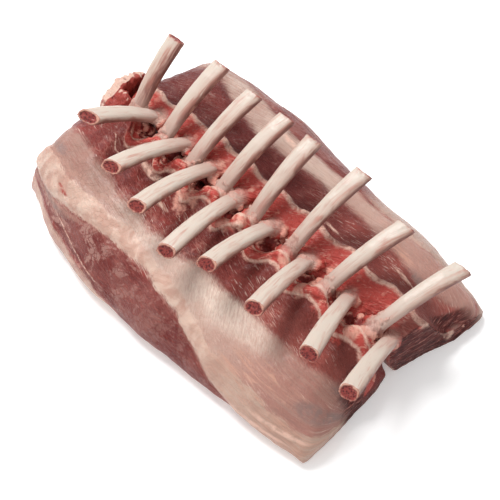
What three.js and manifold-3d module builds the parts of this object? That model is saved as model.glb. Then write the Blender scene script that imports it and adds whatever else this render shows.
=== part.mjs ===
// A guard of lamb: two frenched racks of eight ribs that lean on each other, meat sides out, with
// their bare rib bones laced across the ridge between them. Millimetres, +Z up, X along the racks
// from the shoulder end to the loin end. The origin is the centre of the underside.
import * as THREE from "three";
import { mergeVertices } from "three/addons/utils/BufferGeometryUtils.js";
import Module from "manifold-3d";

// Driving dimensions
const fitGap = 0.35; // clearance between a bone and the meat that holds it
const ribRadius = 112; // the curve of a lamb rib past the eye of the meat
const ribBuried = 32; // length of each bone inside the meat
const ribRoot = { wide: 8.2, thick: 6.4 }; // a bone's section inside the meat
const ribTip = { wide: 11, thick: 5.8 }; // and at its bare end, where it is flatter
const ribSquareness = 0.72; // 1 for an oval section, less for a squarer one
const exitFromRidge = 5; // where a bone leaves the meat, out from the ridge
const exitBelowEdge = 4; // and below the trimmed edge
const edgeRise = 2; // the trimmed edge at a rib, above the height that each rack gives
const edgeHold = 2.5; // the edge stays up this far to each side of a rib
const lip = { wide: 3.5, high: 4.5 }; // the edge stands proud of the meat outside it
const cutHeight = 14; // height of the trimmed face
const cutDip = 3.5; // and how far it dips behind its upper edge
const footLift = 2.4; // height of the rounded edge where the meat meets the surface
const innerFoot = 8; // half the space between the racks at the surface
const innerGap = 0.9; // and where they lean on each other
const leanShare = 0.62; // they part below this share of the throat's height
const shoulderDroop = { length: 18, keep: 0.72 }; // the meat's height falls to this share at its ends
const loinDroop = { length: 30, keep: 0.3 };
const bulgeLength = 30; // how far along a rack an end's swelling reaches
const bulgeWidth = 30; // and to each side of its peak
const endMargin = 12; // the scoop past the last rib is as long as if a rib stood this far outside
const sectionStep = 5; // spacing of the meat's cross-sections along X
const ribSides = 12;
const ribSections = 9;

// Each list runs from the shoulder end to the loin end, the shorter ones at even steps.
const frontRack = {
  name: "front",
  side: -1, // lies on the -Y side of the ridge
  start: -119,
  end: 112,
  reach: [66, 80, 86, 83, 80, 77, 69], // from the ridge to the outer side
  height: [54, 58, 56, 54, 51, 48, 43], // of the trimmed edge at a rib
  startBulge: { by: 6, at: 46 }, // how far an end swells, most at this place
  endBulge: { by: 8, at: 64 },
  edgeDroop: 0.5, // share of the trimmed edge's height that is lost at the loin end
  edgeOut: [10, 10, 10], // of the trimmed edge from the ridge, at a rib
  scoopWide: [10, 10, 10, 10, 7, 4, 7], // how far the edge is scooped outwards between two ribs
  scoopDeep: 5, // and how far downwards
  cutFlat: 5, // breadth of the upper, flatter part of the trimmed face
  ribs: [-92, -67.5, -44.5, -20, 5.5, 34, 63, 97],
  lean: [-3, 2, 5, 4, -1, 4, 14, 14], // of each bone towards the loin end, in degrees
  lift: [60, 49, 46, 45, 46, 45, 42, 37], // above level where it leaves the meat
  bare: [53, 56, 56, 58, 59, 64, 59, 64], // length of bone that shows
  endSlant: 0.6, // how far its cut end slants up
  sawTurn: 4, // of the line that the bones are sawn along, against the ridge, in degrees
};
const backRack = {
  name: "back",
  side: 1,
  start: -107,
  end: 110,
  reach: [79, 83, 83, 80, 80, 78, 71],
  height: [54, 56, 55, 52, 49, 46, 41],
  startBulge: { by: 5, at: 60 },
  endBulge: { by: 14, at: 60 },
  edgeDroop: 0.12,
  edgeOut: [14, 18, 20, 22, 23],
  scoopWide: [3, 3, 4],
  scoopDeep: 0.5,
  cutFlat: 13,
  ribs: [-82, -56.5, -34.5, -10.5, 16, 44, 74.5, 107],
  lean: [-12, -3, 3, 7, 4, 12, 20, 16],
  lift: [49, 41, 39, 34, 40, 40, 39, 40],
  bare: [54, 60, 65, 68, 61, 61, 59, 57],
  endSlant: 2.6,
  sawTurn: 17,
};
const knob = { x: -108, y: 3, z: 46, long: 14, wide: 20, high: 13 }; // neck meat by the first rib

const { lerp: mix, clamp, degToRad: radians } = THREE.MathUtils;
const smooth = (value) => THREE.MathUtils.smoothstep(value, 0, 1);
const point = (out, up) => new THREE.Vector2(out, up);
const squared = (value) => Math.sign(value) * Math.abs(value) ** ribSquareness;

// A value from an evenly spaced list, with a smooth curve through it.
function valueAt(list, share) {
  const curve = new THREE.SplineCurve(list.map((value, i) => point(i / (list.length - 1), value)));
  return curve.getPoint(clamp(share, 0, 1)).y;
}

const heightAt = (rack, x) => valueAt(rack.height, (x - rack.start) / (rack.end - rack.start));

// Slow waves that keep any two sections from being alike.
function unevenness(x, seed) {
  const long = Math.sin(x / 17 + seed) + 0.4 * Math.sin(x / 31 + 3 * seed);
  return long + 0.6 * Math.sin(x / 7.3 + 2.1 * seed);
}

// 0 at a rib, where the trimmed edge climbs the bone, and 1 in the scoop between two ribs.
function scoopAt(rack, x) {
  const stations = [rack.start - endMargin, ...rack.ribs, rack.end + endMargin];
  const next = stations.findIndex((station) => station > x);
  const half = (stations[next] - stations[next - 1]) / 2;
  const fromRib = half - Math.abs(x - stations[next] + half);
  return smooth((fromRib - edgeHold) / (0.55 * half));
}

// Share of its height that the outer meat keeps where it droops at the ends.
function droopAt(rack, x) {
  const fall = ({ length, keep }, fromEnd) =>
    mix(keep, 1, Math.sqrt(1 - clamp(1 - fromEnd / length, 0, 1) ** 2));
  return fall(shoulderDroop, x - rack.start) * fall(loinDroop, rack.end - x);
}

// The closed outline of one rack at x: out from the ridge, and up.
function sectionAt(rack, x) {
  const wave = unevenness(x, rack.side + 2);
  const share = (x - rack.start) / (rack.end - rack.start);
  const reach = valueAt(rack.reach, share) + wave;
  const scoop = scoopAt(rack, x);
  const keep = droopAt(rack, x);
  const height = heightAt(rack, x);
  const edgeHeight = height * (1 - rack.edgeDroop * (1 - keep));
  const edge = point(
    valueAt(rack.edgeOut, share) + valueAt(rack.scoopWide, share) * scoop,
    edgeHeight + edgeRise - rack.scoopDeep * scoop + 0.5 * wave,
  );
  const dip = point(edge.x - rack.cutFlat, edge.y - cutDip);
  const throat = point(innerGap, edge.y - cutHeight);
  const foot = point(0.955 * reach, 0);
  const heel = point(innerFoot, 0);
  const outside = new THREE.SplineCurve([
    edge,
    point(edge.x + lip.wide, edge.y - lip.high * keep),
    point(0.58 * reach, (0.84 * height + 0.7 * wave) * keep),
    point(0.82 * reach, 0.62 * height * keep + footLift),
    point(0.96 * reach, 0.34 * height * keep + footLift),
    point(reach, 0.13 * height * keep + footLift),
    foot,
  ]);
  const inside = new THREE.SplineCurve([heel, point(innerGap + 1, leanShare * throat.y), throat]);
  const faces = [
    [outside, 18],
    [new THREE.LineCurve(foot, heel), 3],
    [inside, 4],
    [new THREE.SplineCurve([throat, dip, edge]), 4],
  ];
  return faces.flatMap(([face, steps]) => face.getPoints(steps).slice(0, -1));
}

// Skins a row of closed rings and closes both ends with a fan.
function loft(rings, turned) {
  const sides = rings[0].length;
  const middle = (ring) => ring.reduce((sum, p) => sum.add(p), new THREE.Vector3()).divideScalar(sides);
  const index = [];
  const face = (a, b, c) => index.push(...(turned ? [a, c, b] : [a, b, c]));
  const last = (rings.length - 1) * sides;
  const cap = rings.length * sides;
  for (let j = 0; j < sides; j++) {
    const next = (j + 1) % sides;
    for (let ring = 0; ring < last; ring += sides) {
      face(ring + j, ring + next, ring + sides + next);
      face(ring + j, ring + sides + next, ring + sides + j);
    }
    face(cap, next, j);
    face(cap + 1, last + j, last + next);
  }
  const geometry = new THREE.BufferGeometry();
  geometry.setFromPoints([...rings.flat(), middle(rings[0]), middle(rings.at(-1))]);
  geometry.setIndex(index);
  return geometry;
}

// The meat of one rack before the bones are cut out of it. Both ends swell outwards.
function meatShape(rack) {
  const count = Math.round((rack.end - rack.start) / sectionStep);
  const { start, end, startBulge, endBulge } = rack;
  const swell = (bulge, out) => bulge.by * Math.exp(-(((out - bulge.at) / bulgeWidth) ** 2));
  const rings = Array.from({ length: count + 1 }, (_, i) => {
    const x = mix(start, end, i / count);
    const nearStart = clamp(1 - (x - start) / bulgeLength, 0, 1) ** 2;
    const nearEnd = clamp(1 - (end - x) / bulgeLength, 0, 1) ** 2;
    return sectionAt(rack, x).map((p) => {
      const shift = nearEnd * swell(endBulge, p.x) - nearStart * swell(startBulge, p.x);
      return new THREE.Vector3(x + shift, rack.side * p.x, p.y);
    });
  });
  return loft(rings, rack.side > 0);
}

// One bone: an arc that climbs out of the meat and flattens over the other rack.
function ribShape(rack, i, extra = 0) {
  const lean = radians(rack.lean[i]);
  const lift = radians(rack.lift[i]);
  const heading = new THREE.Vector3(Math.sin(lean), -rack.side * Math.cos(lean), 0);
  const across = new THREE.Vector3(-heading.y, heading.x, 0);
  const exitHeight = heightAt(rack, rack.ribs[i]) - exitBelowEdge;
  const exit = new THREE.Vector3(rack.ribs[i], rack.side * exitFromRidge, exitHeight);
  const rings = [];
  for (let k = 0; k < ribSections; k++) {
    const share = k / (ribSections - 1);
    const length = mix(-ribBuried - extra, rack.bare[i] + extra, share);
    const slope = lift - length / ribRadius;
    const centre = exit.clone().addScaledVector(heading, ribRadius * (Math.sin(lift) - Math.sin(slope)));
    centre.z += ribRadius * (Math.cos(slope) - Math.cos(lift));
    const along = heading.clone().multiplyScalar(Math.cos(slope)).setZ(Math.sin(slope));
    const normal = heading.clone().multiplyScalar(-Math.sin(slope)).setZ(Math.cos(slope));
    const halfWide = mix(ribRoot.wide, ribTip.wide, smooth(1.4 * share - 0.4)) / 2 + extra;
    const halfThick = mix(ribRoot.thick, ribTip.thick, share) / 2 + extra;
    const slant = share === 1 ? rack.endSlant : 0;
    const turn = share === 1 ? rack.side * Math.tan(lean - rack.side * radians(rack.sawTurn)) : 0;
    rings.push(
      Array.from({ length: ribSides }, (_, s) => {
        const angle = (2 * Math.PI * s) / ribSides;
        const sideways = halfWide * squared(Math.cos(angle));
        const upwards = squared(Math.sin(angle));
        return centre
          .clone()
          .addScaledVector(across, sideways)
          .addScaledVector(normal, halfThick * upwards)
          .addScaledVector(along, turn * sideways - slant * upwards);
      }),
    );
  }
  return loft(rings, false);
}

const wasm = await Module();
wasm.setup();

function toSolid(geometry) {
  const vertProperties = new Float32Array(geometry.getAttribute("position").array);
  const triVerts = new Uint32Array(geometry.index.array);
  return new wasm.Manifold(new wasm.Mesh({ numProp: 3, vertProperties, triVerts }));
}

function toGeometry(solid) {
  const { vertProperties, triVerts } = solid.getMesh();
  const geometry = new THREE.BufferGeometry();
  geometry.setAttribute("position", new THREE.BufferAttribute(vertProperties, 3));
  geometry.setIndex(new THREE.BufferAttribute(triVerts, 1));
  geometry.computeVertexNormals();
  return geometry;
}

// The lump of neck meat that stands up at the shoulder end, kept clear of the back rack.
function knobSolid() {
  const lump = new THREE.SphereGeometry(1, 18, 12).scale(knob.long, knob.wide, knob.high);
  lump.translate(knob.x, knob.y, knob.z);
  lump.deleteAttribute("normal").deleteAttribute("uv");
  const side = 60; // larger than the lump
  const room = new THREE.BoxGeometry(side, side, 2 * side);
  room.translate(backRack.start + side / 2 - 4, side / 2 + fitGap, 0);
  room.deleteAttribute("normal").deleteAttribute("uv");
  return toSolid(mergeVertices(lump)).subtract(toSolid(mergeVertices(room)));
}

const meatFinish = { color: "#7d4246", roughness: 0.45, metalness: 0 };
const boneFinish = { color: "#d9c7b4", roughness: 0.5, metalness: 0 };

const roast = new THREE.Group();
function addPiece(name, solid, finish) {
  const piece = new THREE.Mesh(toGeometry(solid), new THREE.MeshStandardMaterial(finish));
  piece.name = name;
  roast.add(piece);
}

// Every bone's bed is cut out of both racks, because a bone may graze the rack that it leans over.
const racks = [frontRack, backRack];
const bones = racks.flatMap((rack) => rack.ribs.map((_, i) => ({ rack, i })));
const beds = bones.map(({ rack, i }) => toSolid(ribShape(rack, i, fitGap)));
for (const rack of racks) {
  let meat = toSolid(meatShape(rack));
  if (rack === frontRack) meat = meat.add(knobSolid());
  for (const bed of beds) meat = meat.subtract(bed);
  addPiece(`${rack.name}Meat`, meat, meatFinish);
}
for (const { rack, i } of bones)
  addPiece(`${rack.name}Rib${i + 1}`, toSolid(ribShape(rack, i)), boneFinish);

// The origin goes to the centre of the underside.
const extent = new THREE.Box3().setFromObject(roast);
const centre = extent.getCenter(new THREE.Vector3());
roast.position.set(-centre.x, -centre.y, -extent.min.z);

export default roast;
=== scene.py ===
import math
import random
import bpy
import bmesh
import numpy as np
from mathutils import Matrix, Vector, noise


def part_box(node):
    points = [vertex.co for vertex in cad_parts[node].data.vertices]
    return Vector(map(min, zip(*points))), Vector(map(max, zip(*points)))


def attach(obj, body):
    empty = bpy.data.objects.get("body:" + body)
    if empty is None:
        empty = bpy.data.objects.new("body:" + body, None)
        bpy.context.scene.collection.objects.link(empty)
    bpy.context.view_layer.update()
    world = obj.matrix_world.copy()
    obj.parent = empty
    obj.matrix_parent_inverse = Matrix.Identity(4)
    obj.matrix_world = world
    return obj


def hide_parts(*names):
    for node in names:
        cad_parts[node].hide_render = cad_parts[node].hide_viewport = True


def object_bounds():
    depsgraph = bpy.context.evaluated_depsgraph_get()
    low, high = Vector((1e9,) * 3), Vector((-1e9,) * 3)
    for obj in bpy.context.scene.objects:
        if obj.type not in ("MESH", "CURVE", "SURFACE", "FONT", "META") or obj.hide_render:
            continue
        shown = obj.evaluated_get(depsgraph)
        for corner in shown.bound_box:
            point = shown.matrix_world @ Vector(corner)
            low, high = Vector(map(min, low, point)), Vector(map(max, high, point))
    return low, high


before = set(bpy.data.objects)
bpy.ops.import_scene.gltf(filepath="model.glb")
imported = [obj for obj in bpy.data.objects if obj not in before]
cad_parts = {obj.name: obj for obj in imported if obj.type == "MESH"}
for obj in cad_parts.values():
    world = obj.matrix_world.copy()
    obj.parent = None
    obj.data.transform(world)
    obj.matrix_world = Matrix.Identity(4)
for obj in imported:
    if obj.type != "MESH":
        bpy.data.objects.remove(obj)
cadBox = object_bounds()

mm = 0.001
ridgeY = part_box("backMeat")[0].y - 0.9 * mm  # the racks lean on each other along this line
ribCount = 8


# meshes

def link(data, name):
    piece = bpy.data.objects.new(name, data)
    bpy.context.scene.collection.objects.link(piece)
    return piece


def nodeBmesh(nodeName):
    bm = bmesh.new()
    bm.from_mesh(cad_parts[nodeName].data)
    bmesh.ops.remove_doubles(bm, verts=bm.verts, dist=0.002 * mm)
    return bm


def evenMesh(bm, name, voxel, relax):
    # one closed skin of even faces round everything in the bmesh
    rough = bpy.data.meshes.new(name)
    bm.to_mesh(rough)
    bm.free()
    piece = link(rough, name)
    remesh = piece.modifiers.new("remesh", "REMESH")
    remesh.mode = "VOXEL"
    remesh.voxel_size = voxel
    smooth = piece.modifiers.new("smooth", "SMOOTH")
    smooth.factor = 0.5
    smooth.iterations = relax
    depsgraph = bpy.context.evaluated_depsgraph_get()
    even = bpy.data.meshes.new_from_object(piece.evaluated_get(depsgraph))
    piece.modifiers.clear()
    piece.data = even
    bpy.data.meshes.remove(rough)
    even.name = name
    for face in even.polygons:
        face.use_smooth = True
    return piece


def points(mesh):
    flat = np.empty(len(mesh.vertices) * 3, np.float32)
    mesh.vertices.foreach_get("co", flat)
    return flat.reshape(-1, 3).astype(float)


def normals(mesh):
    flat = np.empty(len(mesh.vertices) * 3, np.float32)
    mesh.vertex_normals.foreach_get("vector", flat)
    return flat.reshape(-1, 3).astype(float)


def moveTo(mesh, places):
    mesh.vertices.foreach_set("co", places.astype(np.float32).ravel())
    mesh.update()


def paint(mesh, name, columns):
    # up to three values for each point, which the finishes read by this name
    values = np.zeros((len(mesh.vertices), 3), np.float32)
    for number, column in enumerate(columns):
        values[:, number] = column
    layer = mesh.attributes.new(name, "FLOAT_VECTOR", "POINT")
    layer.data.foreach_set("vector", values.ravel())


def lumps(places, size, seed, octaves=3):
    # fractal noise from about -1 to 1, with lumps of the given size
    shift = Vector((seed * 3.17, seed * 1.31, seed * 2.03))
    scale = 1 / size
    return np.array([noise.fractal(Vector(at) * scale + shift, 0.8, 2.1, octaves) for at in places])


def ramp(values, low, high):
    # 0 up to low, 1 from high on, and a soft step between them
    share = np.clip((values - low) / (high - low), 0, 1)
    return share * share * (3 - 2 * share)


def lineAt(line, x):
    # a given line over the skin: across as a share of the skin, at x in millimetres
    xs, shares = zip(*line)
    return np.interp(x, xs, shares)


# shared finishes

def addNode(tree, kind, inputs=None, **settings):
    made = tree.nodes.new(kind)
    for key, value in settings.items():
        setattr(made, key, value)
    for socket, value in (inputs or {}).items():
        if isinstance(value, bpy.types.NodeSocket):
            tree.links.new(value, made.inputs[socket])
        else:
            made.inputs[socket].default_value = value
    return made


def calc(tree, operation, first, second=0.0):
    return addNode(tree, "ShaderNodeMath", {0: first, 1: second}, operation=operation).outputs[0]


def fade(tree, value, low, high, start=0.0, end=1.0):
    inputs = {"Value": value, "From Min": low, "From Max": high, "To Min": start, "To Max": end}
    return addNode(tree, "ShaderNodeMapRange", inputs, interpolation_type="SMOOTHSTEP").outputs[0]


def blend(tree, share, under, over):
    return addNode(tree, "ShaderNodeMix", {0: share, 6: under, 7: over}, data_type="RGBA").outputs[2]


def mixed(tree, share, under, over):
    return addNode(tree, "ShaderNodeMix", {0: share, 2: under, 3: over}, data_type="FLOAT").outputs[0]


def grain(tree, vector, scale, detail=3.0, distortion=0.0, rough=0.55):
    inputs = {"Vector": vector, "Scale": scale, "Detail": detail, "Roughness": rough}
    inputs["Distortion"] = distortion
    return addNode(tree, "ShaderNodeTexNoise", inputs).outputs[0]


def bumped(tree, height, distance, strength):
    inputs = {"Height": height, "Distance": distance, "Strength": strength}
    return addNode(tree, "ShaderNodeBump", inputs).outputs[0]


def painted(tree, name):
    layer = addNode(tree, "ShaderNodeAttribute", attribute_name=name)
    return addNode(tree, "ShaderNodeSeparateXYZ", {0: layer.outputs["Vector"]}).outputs


moist = {  # what meat and bone share
    "Coat Roughness": 0.16,
    "Subsurface Radius": (1.0, 0.4, 0.3),
    "Subsurface Scale": 1.6 * mm,
}


def newMaterial(name, values):
    material = bpy.data.materials.new(name)
    material.use_nodes = True
    tree = material.node_tree
    shader = tree.nodes["Principled BSDF"]
    for socket, value in values.items():
        shader.inputs[socket].default_value = value
    return material, tree, shader


def newGroup(name, numbers, outputs):
    # a group that takes a Vector and the given numbers, and puts out numbers
    group = bpy.data.node_groups.new(name, "ShaderNodeTree")
    group.interface.new_socket("Vector", in_out="INPUT", socket_type="NodeSocketVector")
    for socket, value in numbers.items():
        made = group.interface.new_socket(socket, in_out="INPUT", socket_type="NodeSocketFloat")
        made.default_value = value
    for socket in outputs:
        group.interface.new_socket(socket, in_out="OUTPUT", socket_type="NodeSocketFloat")
    return group, addNode(group, "NodeGroupInput").outputs, addNode(group, "NodeGroupOutput")


def place(tree, group, inputs):
    return addNode(tree, "ShaderNodeGroup", inputs, node_tree=group).outputs


def send(tree, end, values):
    for socket, value in values.items():
        tree.links.new(value, end.inputs[socket])


def fibreGroup():
    # threads that run along one direction of the Vector, their sizes in millimetres
    numbers = {"Angle": 0.0, "Length": 12.0, "Width": 1.0, "Wander": 0.4}
    group, given, end = newGroup("fibres", numbers, ("Threads", "Flecks"))
    turn = addNode(group, "ShaderNodeCombineXYZ", {2: calc(group, "RADIANS", given["Angle"])}).outputs[0]
    steps = ((given["Length"], mm), (given["Width"], mm), (given["Width"], 4 * mm))
    sizes = {axis: calc(group, "MULTIPLY", *step) for axis, step in enumerate(steps)}
    size = addNode(group, "ShaderNodeCombineXYZ", sizes).outputs[0]
    inputs = {"Vector": given["Vector"], "Rotation": turn, "Scale": size}
    along = addNode(group, "ShaderNodeMapping", inputs, vector_type="TEXTURE").outputs[0]
    threads = grain(group, along, 1.0, 3.0, given["Wander"], 0.5)
    flecks = grain(group, along, 0.62, 1.0, given["Wander"], 0.5)
    send(group, end, {"Threads": threads, "Flecks": fade(group, flecks, 0.61, 0.67)})
    return group


def mottleGroup():
    # soft patches of the given size, a fine grain, and small wet spots, smoother and painted pale as glints
    # of light
    group, given, end = newGroup("mottle", {"Size": 10.0}, ("Patches", "Grain", "WetGlints"))
    position = given["Vector"]
    patches = grain(group, position, calc(group, "DIVIDE", 1 / mm, given["Size"]), 4.0, 0.3)
    fine = grain(group, position, 620.0, 3.0)
    wetGlints = addNode(group, "ShaderNodeTexVoronoi", {"Vector": position, "Scale": 330.0})
    few = fade(group, grain(group, position, 130.0, 1.0), 0.52, 0.64)
    small = fade(group, wetGlints.outputs["Distance"], 0.30, 0.12)
    send(group, end, {"Patches": patches, "Grain": fine, "WetGlints": calc(group, "MULTIPLY", few, small)})
    return group


def crackleGroup():
    # thin wandering lines like the wrinkles of a drying skin
    numbers = {"Size": 4.0, "Wander": 2.0, "Thickness": 0.06}
    group, given, end = newGroup("crackle", numbers, ("Lines",))
    scale = calc(group, "DIVIDE", 1 / mm, given["Size"])
    swirl = addNode(group, "ShaderNodeTexNoise", {"Vector": given["Vector"], "Scale": scale, "Detail": 3.0})
    about = {0: swirl.outputs["Color"], 1: (0.5, 0.5, 0.5)}
    centred = addNode(group, "ShaderNodeVectorMath", about, operation="SUBTRACT").outputs[0]
    reach = {0: centred, "Scale": calc(group, "MULTIPLY", given["Wander"], mm)}
    push = addNode(group, "ShaderNodeVectorMath", reach, operation="SCALE").outputs[0]
    bent = addNode(group, "ShaderNodeVectorMath", {0: given["Vector"], 1: push}, operation="ADD").outputs[0]
    cells = {"Vector": bent, "Scale": scale}
    edge = addNode(group, "ShaderNodeTexVoronoi", cells, feature="DISTANCE_TO_EDGE").outputs["Distance"]
    send(group, end, {"Lines": fade(group, edge, given["Thickness"], 0.0)})
    return group


fibres = fibreGroup()
mottle = mottleGroup()
crackle = crackleGroup()


def fibrous(tree, vector, shape):
    # shape as angle in degrees, length and width in millimetres, and wander
    angle, length, width, wander = shape
    inputs = {"Vector": vector, "Angle": angle, "Length": length, "Width": width, "Wander": wander}
    return place(tree, fibres, inputs)


def wrinkled(tree, vector, shape):
    # shape as size and wander in millimetres, and thickness as a share of the size
    size, wander, thickness = shape
    inputs = {"Vector": vector, "Size": size, "Wander": wander, "Thickness": thickness}
    return place(tree, crackle, inputs)["Lines"]


def rgb(red, green, blue):
    # a screen colour, each value from 0 to 255, as the linear colour that the nodes take
    levels = [level / 255 for level in (red, green, blue)]
    return (*[v / 12.92 if v < 0.04 else ((v + 0.055) / 1.055) ** 2.4 for v in levels], 1.0)


meatColours = {
    "muscle": rgb(144, 62, 56),
    "muscleDeep": rgb(114, 45, 41),
    "muscleLight": rgb(168, 94, 84),
    "fleck": rgb(228, 190, 176),
    "fleckDim": rgb(186, 124, 112),
    "silver": rgb(230, 210, 195),
    "silverGrey": rgb(208, 180, 165),
    "wrinkle": rgb(176, 136, 122),
    "loinSkin": rgb(174, 134, 122),
    "fat": rgb(220, 191, 174),
    "fatPink": rgb(196, 156, 140),
    "loinFat": rgb(174, 138, 122),
    "loinPale": rgb(198, 172, 156),
    "loinWarm": rgb(206, 156, 136),
    "knob": rgb(158, 66, 58),
    "knobPale": rgb(214, 178, 162),
    "low": rgb(134, 72, 66),
    "lowPale": rgb(190, 146, 134),
    "foot": rgb(206, 168, 150),
    "cut": rgb(182, 74, 66),
    # cutDeep: dark red, painted as shade deep in the gap between the racks, and also in patches of the neck
    # lump
    "cutDeep": rgb(108, 36, 33),
    "cutPale": rgb(224, 162, 144),
    "rim": rgb(228, 188, 170),
    # shade: painted shade for the hollow behind the trimmed edge; also mixed into the back rack's muscle
    # towards its shoulder end
    "shade": rgb(88, 28, 25),
    "raw": rgb(64, 24, 22),
    "grey": rgb(150, 120, 113),
    "shoulder": rgb(158, 118, 106),
    "nick": rgb(160, 52, 44),
    "membrane": rgb(196, 160, 147),
}


meatPattern = {
    "patches": 14.0,  # size of the darker and lighter patches, in millimetres
    # threads as angle in degrees, length and width in millimetres, and wander
    "grainLines": (20, 5.0, 0.9, 0.8),
    "fineLines": (22, 4.2, 0.6, 0.8),
    "strands": (14, 14.0, 0.7, 1.4),
    "strokes": (62, 7.0, 0.8, 1.6),
    "sheets": (8, 30.0, 4.5, 1.6),
    "endLines": (0, 9.0, 0.8, 1.2),
    "cutLines": (35, 7.0, 1.8, 1.6),
    # wrinkles as size and wander in millimetres, and thickness
    "creased": (3.2, 4.4, 0.17),
    "wrinkles": (3.4, 4.0, 0.09),
    "flakes": (5.0, 7.0, 0.14),
}


def meatMaterial():
    look = {"Subsurface Weight": 0.1, "Specular IOR Level": 0.2}
    material, tree, shader = newMaterial("lambMeat", {**moist, **look})
    position = addNode(tree, "ShaderNodeTexCoord").outputs["Object"]
    silverIn, fatIn, lowIn = painted(tree, "bands")
    beyond, cut, cling = painted(tree, "trim")
    x, across, density = painted(tree, "skin")
    tissue, pale, shadeBehindEdge = painted(tree, "tint")
    endFace, knob, sinew = painted(tree, "marks")
    greySpot, redSpot, whiteSpot = painted(tree, "spots")
    below, outerStrip, cutTop = painted(tree, "depth")
    knobPale, footward, dark = painted(tree, "more")
    isBack, ribbon, margin = painted(tree, "sides")
    warmHere, glazeHere, shoulderward = painted(tree, "patches")
    skin = addNode(tree, "ShaderNodeCombineXYZ", {0: x, 1: across}).outputs[0]
    c = meatColours

    def multiply(first, second):
        return calc(tree, "MULTIPLY", first, second)

    def plus(first, second):
        return calc(tree, "ADD", first, second)

    def between(value, none, full):
        return fade(tree, value, 0.0, 1.0, none, full)

    def threads(key, vector=skin):
        return fibrous(tree, vector, meatPattern[key])

    loin = fade(tree, x, 0.0, 100 * mm)
    grainLines = threads("grainLines")["Threads"]
    fineLines = threads("fineLines")
    strands = threads("strands")["Threads"]
    strokes = threads("strokes")["Threads"]
    sheets = threads("sheets")["Threads"]
    wrinkles = wrinkled(tree, skin, meatPattern["wrinkles"])
    flakes = wrinkled(tree, skin, meatPattern["flakes"])
    spots = place(tree, mottle, {"Vector": position, "Size": meatPattern["patches"]})
    patches = spots["Patches"]

    # muscle, with pale flecks along its fibres, partly fat and partly painted glints of light on the wet
    # fibres
    turned = {"Vector": skin, "Rotation": (0.0, 0.0, math.radians(20)), "Scale": (2.4, 1.0, 1.0)}
    drawn = addNode(tree, "ShaderNodeMapping", turned, vector_type="TEXTURE").outputs[0]
    lengthwise = calc(tree, "MAXIMUM", isBack, fade(tree, x, -20 * mm, -65 * mm))
    streaks = mixed(tree, lengthwise, strokes, strands)
    muscle = blend(tree, fade(tree, patches, 0.36, 0.64), c["muscleDeep"], c["muscle"])
    muscle = blend(tree, fade(tree, grainLines, 0.5, 0.72, 0.0, 0.5), muscle, c["muscleLight"])
    muscle = blend(tree, multiply(loin, 0.55), muscle, c["muscleLight"])
    fleckyHere = fade(tree, grain(tree, position, 70.0, 2.0), 0.44, 0.62, 0.0, 0.8)
    muscle = blend(tree, multiply(fineLines["Flecks"], fleckyHere), muscle, c["fleck"])
    creased = wrinkled(tree, drawn, meatPattern["creased"])
    creasedHere = fade(tree, grain(tree, position, 36.0, 3.0), 0.46, 0.62, 0.05, 0.7)
    muscle = blend(tree, multiply(creased, creasedHere), muscle, c["fleckDim"])
    muscle = blend(tree, multiply(dark, 0.6), muscle, c["shade"])
    # painted shade in the hollow just behind the trimmed edge
    muscle = blend(tree, multiply(shadeBehindEdge, 0.5), muscle, c["shade"])

    # wandering borders between the bands
    wide = multiply(calc(tree, "SUBTRACT", grain(tree, position, 60.0, 4.0), 0.5), 12 * mm)
    small = multiply(calc(tree, "SUBTRACT", fineLines["Threads"], 0.5), 5 * mm)
    wander = plus(wide, small)
    silverEdge, fatEdge, lowEdge = [plus(band, wander) for band in (silverIn, fatIn, lowIn)]
    silverEdge = plus(silverEdge, multiply(calc(tree, "SUBTRACT", streaks, 0.5), 5 * mm))

    # silverskin, thin enough to show the muscle through it
    sheetShare = multiply(loin, fade(tree, sheets, 0.44, 0.6, 0.0, 0.55))
    sheetShare = multiply(sheetShare, between(isBack, 1.0, 0.0))
    glaze = fade(tree, grain(tree, position, 42.0, 3.0, 0.4), 0.40, 0.58, 0.25, 1.0)
    glaze = calc(tree, "MAXIMUM", glaze, glazeHere)
    glossy = plus(0.35, multiply(calc(tree, "MAXIMUM", shoulderward, glazeHere), 0.65))
    strokeShare = multiply(multiply(fade(tree, streaks, 0.36, 0.62), glaze), glossy)
    cream = blend(tree, fade(tree, patches, 0.60, 0.40, 0.0, 0.6), c["silverGrey"], c["fatPink"])
    cream = blend(tree, plus(multiply(strokeShare, 0.62), multiply(glaze, 0.3)), cream, c["silver"])
    hairs = multiply(fade(tree, streaks, 0.475, 0.42, 0.0, 0.7), between(shoulderward, 0.15, 1.0))
    cream = blend(tree, hairs, cream, c["wrinkle"])
    loinShare = multiply(multiply(loin, 0.8), between(glazeHere, 1.0, 0.2))
    cream = blend(tree, loinShare, cream, c["loinSkin"])
    cream = blend(tree, sheetShare, cream, c["loinPale"])
    greyed = multiply(fade(tree, x, -20 * mm, -90 * mm, 0.0, 0.8), between(isBack, 1.0, 0.4))
    cream = blend(tree, greyed, cream, c["shoulder"])
    warmStrands = multiply(loin, fade(tree, strands, 0.5, 0.66, 0.0, 0.35))
    cream = blend(tree, warmStrands, cream, c["loinWarm"])
    creases = multiply(wrinkles, fade(tree, patches, 0.42, 0.62, 0.0, 0.3))
    cream = blend(tree, multiply(creases, shoulderward), cream, c["wrinkle"])
    thin = fade(tree, patches, 0.4, 0.7, 0.0, -0.15)
    veil = plus(fade(tree, streaks, 0.3, 0.6, 0.94, 1.02), thin)
    veil = plus(veil, multiply(glazeHere, 0.2))
    cover = multiply(multiply(fade(tree, silverEdge, -3.5 * mm, 4.5 * mm), density), veil)
    cover = calc(tree, "MINIMUM", cover, 1.0)
    colour = blend(tree, cover, muscle, cream)

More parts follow.
